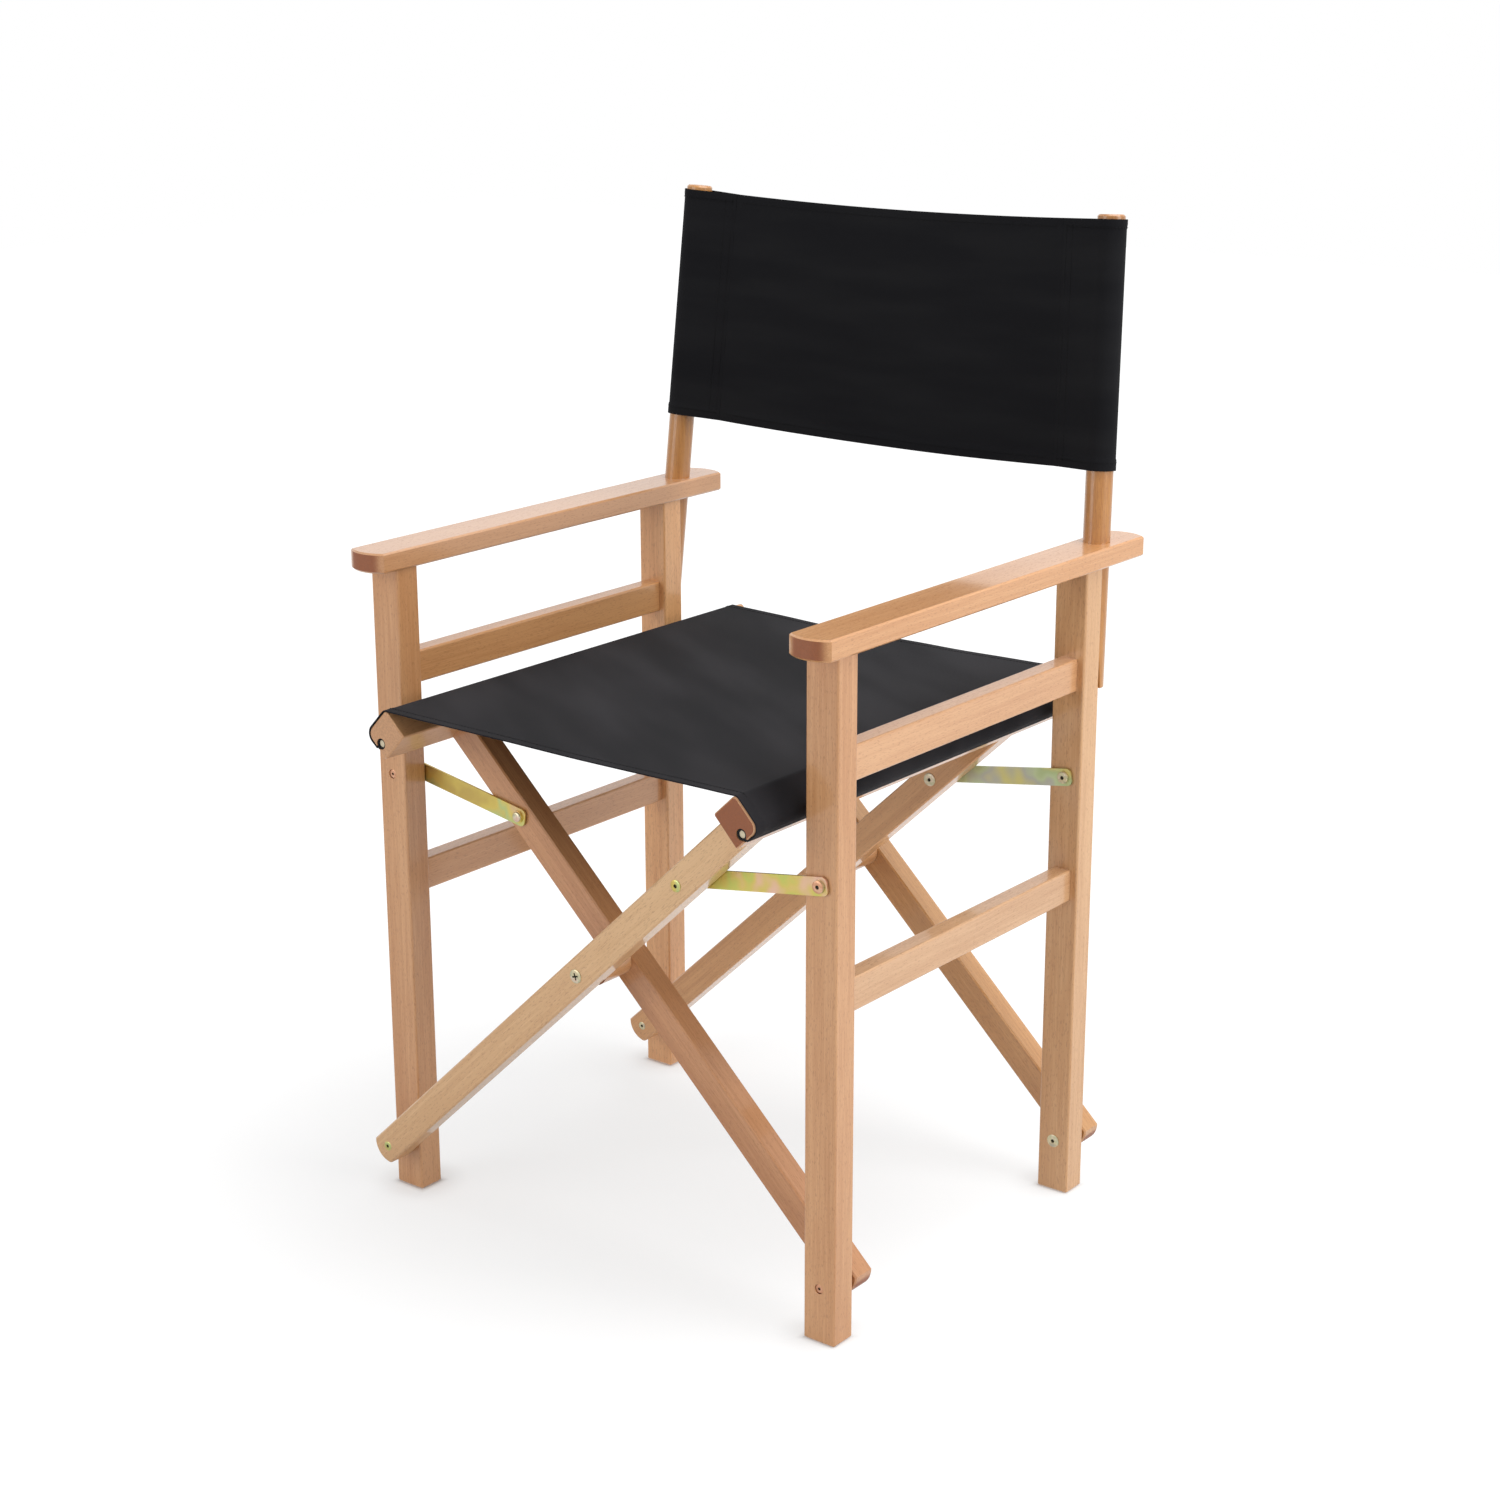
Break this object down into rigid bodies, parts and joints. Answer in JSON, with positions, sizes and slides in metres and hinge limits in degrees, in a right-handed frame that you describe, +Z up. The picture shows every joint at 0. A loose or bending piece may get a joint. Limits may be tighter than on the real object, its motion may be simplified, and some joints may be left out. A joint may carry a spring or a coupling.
{
  "type": "folding chair",
  "caption": "Director's style folding chair: beech side frames on crossed bars that fold sideways, with a stretched canvas seat and back and flat wooden armrests.",
  "frame": {"origin": "on the floor, under the middle of the open chair's box", "axes": "+Z up; +X to the right as seen from the front; the front faces -Y, so the back uprights lean towards +Y"},
  "size_m": [0.527, 0.5076, 0.9],
  "materials": {
    "beech": "clear satin lacquer on pale beech",
    "seat_canvas": "black cotton canvas, plain weave",
    "back_canvas": "black cotton canvas, plain weave",
    "zinc": "yellow passivated zinc on steel",
    "washer": "black nylon",
    "rod": "cream plastic rod"
  },
  "bodies": {
    "left_frame": {"front_leg_left": "beech", "rear_leg_left": "beech", "armrest_left": "beech", "upper_side_rail_left": "beech", "lower_side_rail_left": "beech", "back_upright_left": "beech", "strap_leg_bolts_left": "zinc", "back_sling": "back_canvas"},
    "bars_rising_right": {"front_bar_rising_right": "beech", "rear_bar_rising_right": "beech", "seat_rail_right": "beech", "seat_rod_right": "rod", "lower_pivot_bolts_left": "zinc", "lower_pivot_washers_left": "washer", "crossing_bolts": "zinc", "crossing_spacers": "beech", "strap_bar_bolts_right": "zinc", "seat_sling": "seat_canvas"},
    "bars_rising_left": {"front_bar_rising_left": "beech", "rear_bar_rising_left": "beech", "seat_rail_left": "beech", "seat_rod_left": "rod", "lower_pivot_bolts_right": "zinc", "lower_pivot_washers_right": "washer", "strap_bar_bolts_left": "zinc"},
    "right_frame": {"front_leg_right": "beech", "rear_leg_right": "beech", "armrest_right": "beech", "upper_side_rail_right": "beech", "lower_side_rail_right": "beech", "back_upright_right": "beech", "strap_leg_bolts_right": "zinc"},
    "left_straps": {"front_strap_left": "zinc", "rear_strap_left": "zinc"},
    "right_straps": {"front_strap_right": "zinc", "rear_strap_right": "zinc"}
  },
  "joints": [
    {"name": "fold", "type": "hinge", "parent": "left_frame", "child": "bars_rising_right", "pos_m": [-0.2415, -0.1898, 0.05], "axis": [0, -1, 0], "range_deg": [0, 28.9], "deforming": ["seat_sling", "back_sling"]},
    {"name": "crossing", "type": "hinge", "parent": "bars_rising_right", "child": "bars_rising_left", "pos_m": [0, -0.1898, 0.27917], "axis": [0, -1, 0], "range_deg": [-63.01, 0]},
    {"name": "right_lower_pivot", "type": "hinge", "parent": "bars_rising_left", "child": "right_frame", "pos_m": [0.2415, -0.1898, 0.05], "axis": [0, -1, 0], "range_deg": [0, 28.91]},
    {"name": "left_strap_pivot", "type": "hinge", "parent": "left_frame", "child": "left_straps", "pos_m": [-0.2415, -0.1898, 0.4075], "axis": [0, -1, 0], "range_deg": [0, 68.35]},
    {"name": "right_strap_pivot", "type": "hinge", "parent": "right_frame", "child": "right_straps", "pos_m": [0.2415, -0.1898, 0.4075], "axis": [0, -1, 0], "range_deg": [-68.35, 0]}
  ],
  "couplings": [
    {"joint": "crossing", "follows": "fold", "ratio": -2.1799},
    {"joint": "right_lower_pivot", "follows": "fold", "ratio": 1},
    {"joint": "left_strap_pivot", "follows": "fold", "ratio": 2.3647},
    {"joint": "right_strap_pivot", "follows": "fold", "ratio": -2.3647}
  ]
}
